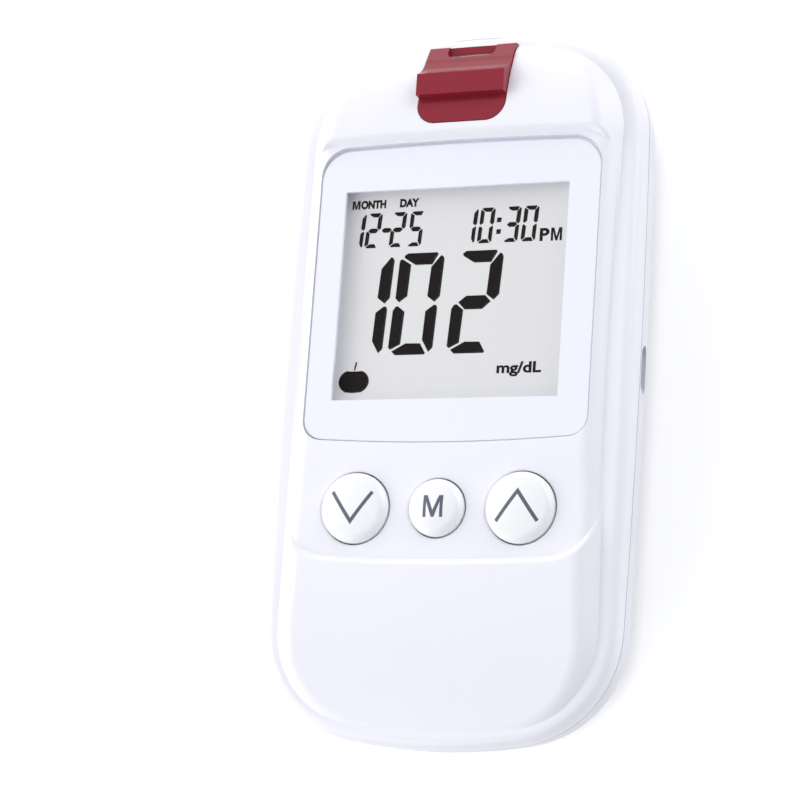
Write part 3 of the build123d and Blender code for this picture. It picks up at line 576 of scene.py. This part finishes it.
def label(text, corner, cap_height, width, height, weight):
    """One printed word on height: where its baseline starts, how high its capitals are and
    how wide it is, in millimetres, and how much its lines grow to each side to make them
    bold."""
    bpy.ops.object.select_all(action="DESELECT")
    bpy.ops.object.text_add(location=(0.0, 0.0, 0.0))
    thing = bpy.context.view_layer.objects.active
    thing.data.body = text
    thing.data.size = 1.4 * cap_height * MM
    thing.data.bevel_depth = weight * MM
    thing.data.bevel_resolution = 0
    thing = as_mesh(thing, 0.0)
    xs, ys, zs = zip(*(vertex.co for vertex in thing.data.vertices))
    thing.data.transform(
        Matrix.Translation((corner[0] * MM, corner[1] * MM, height))
        @ Matrix.Diagonal(
            (
                width * MM / (max(xs) - min(xs)),
                cap_height * MM / (max(ys) + weight * MM),
                THIN / (max(zs) - min(zs)),
                1.0,
            )
        )
        @ Matrix.Translation((-min(xs), weight * MM, -min(zs)))
    )
    return thing


def capital_m(corner, cap_height, width, stroke):
    """A capital M whose middle comes down to the foot of the line, as a loop."""
    x0, y0 = corner
    shoulder = 1.35 * stroke  # the flat top of each leg
    point = 0.45 * stroke  # half of the middle's foot
    crotch = 0.72 * cap_height  # where the middle leaves the inside of a leg
    valley = 0.3 * cap_height  # where the two slopes meet
    right = [
        (width - shoulder, cap_height),
        (width, cap_height),
        (width, 0.0),
        (width - stroke, 0.0),
        (width - stroke, crotch),
        (width / 2 + point, 0.0),
    ]
    left = [(width - x, y) for x, y in reversed(right)]
    return [(x0 + x, y0 + y) for x, y in [(width / 2, valley), *right, *left]]


def join(things):
    """Makes one piece of several."""
    select_only(*things)
    bpy.ops.object.join()
    return bpy.context.view_layer.objects.active


# --- what the display shows, in millimetres ---------------------------------------------

# Segments of a digit, named as in a data sheet: a on top, then clockwise, g in the middle.
# Points are upright, for the large digits.
SEGMENTS = {
    "a": (
        (0.6, 14.3),
        (1.1, 14.65),
        (5.5, 14.65),
        (5.72, 14.4),
        (5.0, 12.93),
        (2.5, 12.93),
        (0.75, 13.95),
    ),
    "b": (
        (6.15, 14.2),
        (6.45, 14.1),
        (6.72, 13.7),
        (6.88, 8.3),
        (6.2, 7.5),
        (5.0, 8.35),
        (4.92, 12.55),
    ),
    "c": ((6.2, 7.1), (6.55, 7.0), (6.75, 6.6), (6.95, 0.95), (6.4, 0.35), (5.2, 2.1), (5.05, 6.2)),
    "d": ((0.85, 0.55), (2.8, 1.65), (5.0, 1.6), (5.95, 0.2), (5.8, 0.0), (1.45, 0.0)),
    "e": ((0.75, 7.05), (1.9, 6.2), (2.0, 1.55), (0.6, 0.8), (0.25, 1.1), (0.1, 6.4), (0.4, 6.95)),
    "f": (
        (0.0, 13.4),
        (0.08, 13.75),
        (0.42, 13.8),
        (1.8, 13.0),
        (1.95, 8.45),
        (0.85, 7.6),
        (0.2, 8.2),
    ),
    "g": ((1.0, 7.3), (2.05, 8.2), (4.85, 8.2), (5.8, 7.3), (4.7, 6.25), (2.1, 6.25)),
}
DIGITS = {
    "0": "abcdef",
    "1": "bc",
    "2": "abged",
    "3": "abgcd",
    "5": "afgcd",
    "-": "g",
}

# Each digit of the reading, the date and the time, with the left end of its foot.
READING = (("1", -17.65), ("0", -10.1), ("2", -1.3))
READING_FOOT = 3.75
READING_LEAN = 0.09
DATE = (("1", -17.1), ("2", -14.65), ("-", -12.6), ("2", -10.9), ("5", -8.15))
CLOCK = (("1", -0.12), ("0", 2.4), ("3", 6.25), ("0", 8.85))
SMALL_FOOT = 19.42
SMALL_LEAN = 0.1
SMALL_ACROSS = 0.32  # share of a large digit's width
SMALL_ALONG = 0.348  # share of a large digit's height
COLON = ((5.3, -0.33), (5.95, -0.33), (6.0, 0.33), (5.35, 0.33))
COLON_HEIGHTS = (21.0, 22.68)

# The foot and the height of the capitals of each line of words.
ABOVE_DATE = 25.2
ABOVE_DATE_CAPS = 1.25
BY_CLOCK = 19.35
BY_CLOCK_CAPS = 1.85
UNIT_FOOT = 0.8
UNIT_CAPS = 1.6

FRUIT_MIDDLE = (-14.6, 0.1)
FRUIT_HALF = (2.3, 1.8)  # half of its width and of its height
FRUIT_SIDES = 48
FRUIT_DENT = 0.18  # depth of the hollow at the top, as a share of the radius
FRUIT_FOOT = 0.1  # the same at the bottom
HOLLOW_SPREAD = 0.01  # how far each hollow reaches round
FRUIT_STEM = ((-14.7, 1.7), (-14.5, 1.7), (-14.25, 2.85), (-14.5, 2.9))


def segment_loops(digit, corner, across=1.0, along=1.0, lean=READING_LEAN):
    """The switched segments of one digit, as loops, at a share of the large digits' size."""
    x0, y0 = corner
    return [
        [(x0 + across * x + lean * along * y, y0 + along * y) for x, y in SEGMENTS[name]]
        for name in DIGITS[digit]
    ]


def fruit_body():
    """A plain round fruit, a little hollow at the top and bottom."""
    loop = []
    for step in range(FRUIT_SIDES):
        angle = 2 * math.pi * step / FRUIT_SIDES
        dent = FRUIT_DENT * math.exp(-((math.sin(angle) - 1) ** 2) / HOLLOW_SPREAD)
        foot = FRUIT_FOOT * math.exp(-((math.sin(angle) + 1) ** 2) / HOLLOW_SPREAD)
        radius = 1.0 - dent - foot
        x = FRUIT_MIDDLE[0] + FRUIT_HALF[0] * radius * math.cos(angle)
        y = FRUIT_MIDDLE[1] + FRUIT_HALF[1] * radius * math.sin(angle)
        loop.append((x, y))
    return loop


# --- operators --------------------------------------------------------------------------


class METER_OT_stage(bpy.types.Operator):
    """Pale floor, soft studio light and the camera"""

    bl_idname = "meter.stage"
    bl_label = "Stage"

    def execute(self, context):
        settings = context.scene.meter_stage
        scene = context.scene
        scene.view_settings.view_transform = "Standard"

        bpy.ops.object.select_all(action="DESELECT")
        bpy.ops.mesh.primitive_plane_add(size=6.0, location=(0.0, 0.0, -FLOOR_DROP))
        floor = context.active_object
        floor.name = "floor"
        floor.data.materials.append(self.floor_paint(settings))

        world = bpy.data.worlds.new("studio")
        scene.world = world
        world.use_nodes = True
        world.node_tree.nodes.clear()
        strength = add_node(
            world.node_tree,
            "ShaderNodeMapRange",
            values={"To Min": settings.sky, "To Max": 1.0},
            links={"Value": sight_rays(world.node_tree)},
        )
        backdrop = add_node(
            world.node_tree,
            "ShaderNodeBackground",
            values={"Color": SKY_TINT},
            links={"Strength": strength.outputs["Result"]},
        )
        add_node(world.node_tree, "ShaderNodeOutputWorld", links={"Surface": backdrop.outputs[0]})

        for name, (place, size) in LAMPS.items():
            self.lamp(name + "_lamp", place, size, getattr(settings, name))

        eye = bpy.data.cameras.new("camera")
        eye.sensor_width = 36.0
        eye.lens = settings.lens
        eye.clip_start = 0.01
        camera = bpy.data.objects.new("camera", eye)
        scene.collection.objects.link(camera)
        axis = EYE_AXIS.normalized()
        right = axis.cross(EYE_UP).normalized()
        up = right.cross(axis)
        turn = Matrix((right, up, -axis)).transposed().to_4x4()
        camera.matrix_world = Matrix.Translation(EYE_PLACE) @ turn
        scene.camera = camera
        return {"FINISHED"}

    def floor_paint(self, settings):
        """Seamless white paper: what is looked at of it is white, and keeps the shadow. Near the
        object a painted contact shadow darkens its colour and its glow.
        """
        material, tree = new_tree("backdrop_paper")
        # Painted contact shadow: where the object nearly touches the paper, ambient occlusion
        # darkens the paper's colour and its glow.
        near = add_node(tree, "ShaderNodeAmbientOcclusion", {"samples": 8}, {"Distance": 4.5 * MM})
        lit = add_node(
            tree,
            "ShaderNodeMapRange",
            values={"From Min": 0.4, "From Max": 0.9, "To Min": 0.62, "To Max": 1.0},
            links={"Value": near.outputs["AO"]},
        )
        tint = add_node(
            tree,
            "ShaderNodeMix",
            {"data_type": "RGBA"},
            {"A": (0.0, 0.0, 0.0, 1.0), "B": rgba(settings.floor)},
            {"Factor": lit.outputs["Result"]},
        )
        paper = add_node(tree, "ShaderNodeBsdfDiffuse", links={"Color": tint.outputs["Result"]})
        # The glow is darkened by the same painted contact shadow.
        lift = add_node(
            tree,
            "ShaderNodeMath",
            {"operation": "MULTIPLY"},
            {1: settings.floor_glow},
            {0: lit.outputs["Result"]},
        )
        glow = add_node(tree, "ShaderNodeEmission", links={"Strength": lift.outputs[0]})
        both = add_node(
            tree, "ShaderNodeAddShader", links={0: paper.outputs[0], 1: glow.outputs[0]}
        )
        mixer = add_node(
            tree,
            "ShaderNodeMixShader",
            links={"Fac": sight_rays(tree), 1: paper.outputs[0], 2: both.outputs[0]},
        )
        add_node(tree, "ShaderNodeOutputMaterial", links={"Surface": mixer.outputs[0]})
        return material

    def lamp(self, name, place, size, power):
        """One soft disk that faces the origin."""
        light = bpy.data.lights.new(name, "AREA")
        light.shape = "DISK"
        light.size = size
        light.energy = power
        thing = bpy.data.objects.new(name, light)
        bpy.context.scene.collection.objects.link(thing)
        thing.location = place
        thing.rotation_euler = (-Vector(place)).to_track_quat("-Z", "Y").to_euler()


class METER_OT_casing(bpy.types.Operator):
    """Finish of the two casing halves and the battery door"""

    bl_idname = "meter.casing"
    bl_label = "Casing"

    def execute(self, context):
        settings = context.scene.meter_casing
        gloss = moulded("abs_gloss_moulded", settings.front, settings.roughness)
        dress(gloss, "front_shell")
        # The back half and the door take the darker back white, which holds painted shade.
        satin = moulded(
            "abs_satin_moulded",
            settings.back,
            settings.roughness + 0.08,
            grain_mm=0.35,
            depth_mm=0.01,
        )
        dress(satin, "rear_shell", "battery_door")
        return {"FINISHED"}


class METER_OT_window(bpy.types.Operator):
    """Clear window, the white border printed under it and the tape that holds it"""

    bl_idname = "meter.window"
    bl_label = "Window"

    def execute(self, context):
        settings = context.scene.meter_display
        dress(clear_acrylic("acrylic_polished", ior=1.3), "display_lens")
        dress(printed_ink("tape_white_foam", linear("#e9e9ee"), 0.6), "lens_adhesive")

        # The border is a slice of the window itself, a little smaller all round.
        low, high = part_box("display_lens")
        bpy.ops.object.select_all(action="DESELECT")
        border = NODES["display_lens"].copy()
        border.data = NODES["display_lens"].data.copy()
        for key in list(border.keys()):
            del border[key]
        border.parent = None
        context.collection.objects.link(border)
        select_only(border)
        bpy.ops.object.mode_set(mode="EDIT")
        bpy.ops.mesh.select_all(action="SELECT")
        bpy.ops.mesh.remove_doubles(threshold=WELD_PACKED)
        top = high.z - settings.border_depth
        for height, above in ((top, True), (top - settings.border_thickness, False)):
            bpy.ops.mesh.select_all(action="SELECT")
            bpy.ops.mesh.bisect(
                plane_co=(0.0, 0.0, height),
                plane_no=(0.0, 0.0, 1.0),
                use_fill=True,
                clear_outer=above,
                clear_inner=not above,
            )
        bpy.ops.mesh.select_all(action="SELECT")
        bpy.ops.mesh.normals_make_consistent(inside=False)
        bpy.ops.object.mode_set(mode="OBJECT")
        inset = 0.12 * MM
        middle = (low + high) / 2
        size = high - low
        border.data.transform(
            Matrix.Translation(middle)
            @ Matrix.Diagonal((1 - 2 * inset / size.x, 1 - 2 * inset / size.y, 1.0, 1.0))
            @ Matrix.Translation(-middle)
        )
        border.data.materials.clear()

        bpy.ops.object.select_all(action="DESELECT")
        bpy.ops.mesh.primitive_cube_add(
            size=1.0, location=(settings.view_side, settings.view_centre, middle.z)
        )
        cutter = context.active_object
        deep = 4 * size.z  # right through the border, wherever it lies in the window
        cutter.scale = (settings.view_width, settings.view_length, deep)
        bpy.ops.object.transform_apply(location=True, rotation=True, scale=True)
        apply_modifier(border, "BOOLEAN", object=cutter, operation="DIFFERENCE", solver="EXACT")
        bpy.ops.object.shade_flat()
        bpy.data.objects.remove(cutter)
        ink = thin_ink("ink_white_screen_printed", settings.border, through=0.7)
        finish_piece(border, "window_border", ink, "casing")
        return {"FINISHED"}


class METER_OT_display(bpy.types.Operator):
    """Display glass with its switched segments and words, its frame and its connectors"""

    bl_idname = "meter.display"
    bl_label = "Display"

    def execute(self, context):
        settings = context.scene.meter_display
        dress(display_ground("lcd_reflector", settings.ground), "lcd_panel")
        dress(moulded("polycarbonate_moulded", linear("#d9dade"), 0.5), "lcd_holder")
        dress(moulded("silicone_moulded", linear("#c98f9b"), 0.6), "zebra_upper", "zebra_lower")

        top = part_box("lcd_panel")[1].z
        # Switched crystal lies between glass plates, so it has next to no gloss of its own.
        ink = printed_ink("lcd_segment_dark", settings.segment, 0.6, ior=1.1)

        loops = []
        for digit, x in READING:
            loops += segment_loops(digit, (x, READING_FOOT))
        for digit, x in DATE + CLOCK:
            loops += segment_loops(digit, (x, SMALL_FOOT), SMALL_ACROSS, SMALL_ALONG, SMALL_LEAN)
        for height in COLON_HEIGHTS:
            loops.append([(x, height + y) for x, y in COLON])
        digits = flat_shape(loops, top)
        finish_piece(digits, "display_digits", ink, "casing")

        above_date = capital_m((-16.8, ABOVE_DATE), ABOVE_DATE_CAPS, width=1.2, stroke=0.28)
        by_clock = capital_m((13.4, BY_CLOCK), BY_CLOCK_CAPS, width=1.6, stroke=0.32)
        words = [
            flat_shape([above_date], top),
            label("ONTH", (-15.48, ABOVE_DATE), ABOVE_DATE_CAPS, 3.86, top, weight=0.1),
            label("DAY", (-9.5, ABOVE_DATE), ABOVE_DATE_CAPS, 2.95, top, weight=0.1),
            label("P", (11.75, BY_CLOCK), BY_CLOCK_CAPS, 1.4, top, weight=0.09),
            flat_shape([by_clock], top),
            label("mg/dL", (6.65, UNIT_FOOT), UNIT_CAPS, 6.5, top, weight=0.075),
        ]
        finish_piece(join(words), "display_words", ink, "casing")

        fruit = flat_shape([fruit_body(), FRUIT_STEM], top)
        finish_piece(fruit, "display_fruit", ink, "casing")
        return {"FINISHED"}


class METER_OT_keys(bpy.types.Operator):
    """The three keys and the marks printed on them"""

    bl_idname = "meter.keys"
    bl_label = "Keys"

    def execute(self, context):
        settings = context.scene.meter_casing
        plastic = moulded("abs_key_moulded", settings.key, 0.3, depth_mm=0.004)
        dress(plastic, "down_key", "memory_key", "up_key")
        ink = printed_ink("ink_grey_pad_printed", settings.mark, 0.45)
        arrow = self.arrow(half_width=2.95, half_height=2.05, stroke=settings.mark_stroke / MM)
        letter = capital_m((-1.42, -1.5), cap_height=3.0, width=2.85, stroke=0.43)
        for key, body, loop in (
            ("down_key", "down_button", [(x, -y) for x, y in arrow]),
            ("up_key", "up_button", arrow),
            ("memory_key", "memory_button", letter),
        ):
            low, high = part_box(key)
            x0 = (low.x + high.x) / 2 / MM
            y0 = (low.y + high.y) / 2 / MM
            mark = flat_shape([[(x0 + x, y0 + y) for x, y in loop]], high.z)
            self.settle(mark, key)
            finish_piece(mark, key + "_mark", ink, body)
        return {"FINISHED"}

    def arrow(self, half_width, half_height, stroke):
        """An open arrowhead that points up, in millimetres round the middle of its key."""
        lean = math.hypot(half_width, 2 * half_height)
        across = stroke * 2 * half_height / lean / 2
        up = stroke * half_width / lean / 2
        drop = stroke * lean / half_width / 2
        return [
            (-half_width - across, -half_height + up),
            (0.0, half_height + drop),
            (half_width + across, -half_height + up),
            (half_width - across, -half_height - up),
            (0.0, half_height - drop),
            (-half_width + across, -half_height - up),
        ]

    def settle(self, mark, key):
        """Lays a flat mark down on the domed cap of its key."""
        select_only(mark)
        bpy.ops.object.mode_set(mode="EDIT")
        bpy.ops.mesh.select_all(action="SELECT")
        bpy.ops.mesh.quads_convert_to_tris()
        bpy.ops.mesh.subdivide(number_cuts=4)
        bpy.ops.object.mode_set(mode="OBJECT")
        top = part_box(key)[1].z
        start = top + 10 * MM  # well above the key
        down = Vector((0.0, 0.0, -1.0))
        for vertex in mark.data.vertices:
            x, y, z = vertex.co
            found, spot = NODES[key].ray_cast(Vector((x, y, start)), down)[:2]
            if not found:
                raise RuntimeError(mark.name + " reaches past " + key)
            vertex.co.z = spot.z + (z - top)


class METER_OT_ejector(bpy.types.Operator):
    """The red strip ejector, its carriage and spring, and the snap domes of the same steel"""

    bl_idname = "meter.ejector"
    bl_label = "Strip ejector"

    def execute(self, context):
        settings = context.scene.meter_ejector
        # A low IOR keeps the pale studio from washing the red out.
        red = moulded("abs_red_moulded", settings.red, 0.2, depth_mm=0.003, ior=1.36, fade=0.08)
        dress(red, "strip_ejector")
        dress(moulded("acetal_moulded", settings.pusher, 0.42, ior=1.48), "ejector_pusher")
        spring = metal("spring_steel_drawn", context.scene.meter_parts.steel, 0.3)
        dress(spring, "ejector_spring", "dome_down", "dome_memory", "dome_up")
        return {"FINISHED"}


class METER_OT_electronics(bpy.types.Operator):
    """Circuit board, chip, buzzer, strip connector and data socket"""

    bl_idname = "meter.electronics"
    bl_label = "Electronics"

    def execute(self, context):
        settings = context.scene.meter_parts
        dress(circuit_board("solder_mask_on_glass_fibre", settings.board), "main_pcb")
        epoxy = moulded(
            "epoxy_black_moulded", settings.black, 0.55, grain_mm=0.25, depth_mm=0.012
        )
        dress(epoxy, "microcontroller")
        dress(moulded("pbt_black_moulded", settings.black, 0.45), "buzzer", "strip_connector")
        dress(metal("gold_plated_bronze", settings.gold, 0.25), "strip_contacts")
        dress(metal("tin_plated_shell", darker(settings.steel, 0.35), 0.4), "data_socket")
        return {"FINISHED"}


class METER_OT_power(bpy.types.Operator):
    """The two cells, their contacts and the case screws"""

    bl_idname = "meter.power"
    bl_label = "Cells and screws"

    def execute(self, context):
        settings = context.scene.meter_parts
        sleeve = cell_sleeve(
            "cell_sleeve_printed", settings.cell, settings.cell_band, settings.steel
        )
        dress(sleeve, "battery_left", "battery_right")
        nickel = metal("steel_nickel_plated", settings.steel, 0.3)
        dress(nickel, "positive_contact", "negative_contact", "bridge_contact", "case_screws")
        return {"FINISHED"}


OPERATORS = (
    METER_OT_stage,
    METER_OT_casing,
    METER_OT_window,
    METER_OT_display,
    METER_OT_keys,
    METER_OT_ejector,
    METER_OT_electronics,
    METER_OT_power,
)
SETTINGS = {
    "meter_stage": MeterStageSettings,
    "meter_casing": MeterCasingSettings,
    "meter_display": MeterDisplaySettings,
    "meter_ejector": MeterEjectorSettings,
    "meter_parts": MeterPartsSettings,
}


class METER_PT_panel(bpy.types.Panel):
    """Lists the steps that dress the meter, with their settings"""

    bl_idname = "METER_PT_panel"
    bl_label = "Glucose meter"
    bl_space_type = "VIEW_3D"
    bl_region_type = "UI"
    bl_category = "Glucose meter"

    def draw(self, context):
        for operator in OPERATORS:
            self.layout.operator(operator.bl_idname)
        for name, group in SETTINGS.items():
            box = self.layout.box()
            for field in group.__annotations__:
                box.prop(getattr(context.scene, name), field)


def register():
    for group in SETTINGS.values():
        bpy.utils.register_class(group)
    for operator in OPERATORS:
        bpy.utils.register_class(operator)
    bpy.utils.register_class(METER_PT_panel)
    for name, group in SETTINGS.items():
        setattr(bpy.types.Scene, name, bpy.props.PointerProperty(type=group))


def unregister():
    for name in SETTINGS:
        delattr(bpy.types.Scene, name)
    bpy.utils.unregister_class(METER_PT_panel)
    for operator in OPERATORS:
        bpy.utils.unregister_class(operator)
    for group in SETTINGS.values():
        bpy.utils.unregister_class(group)


def main():
    register()
    bpy.ops.meter.stage()
    bpy.ops.meter.casing()
    bpy.ops.meter.window()
    bpy.ops.meter.display()
    bpy.ops.meter.keys()
    bpy.ops.meter.ejector()
    bpy.ops.meter.electronics()
    bpy.ops.meter.power()


if __name__ == "__main__":
    main()
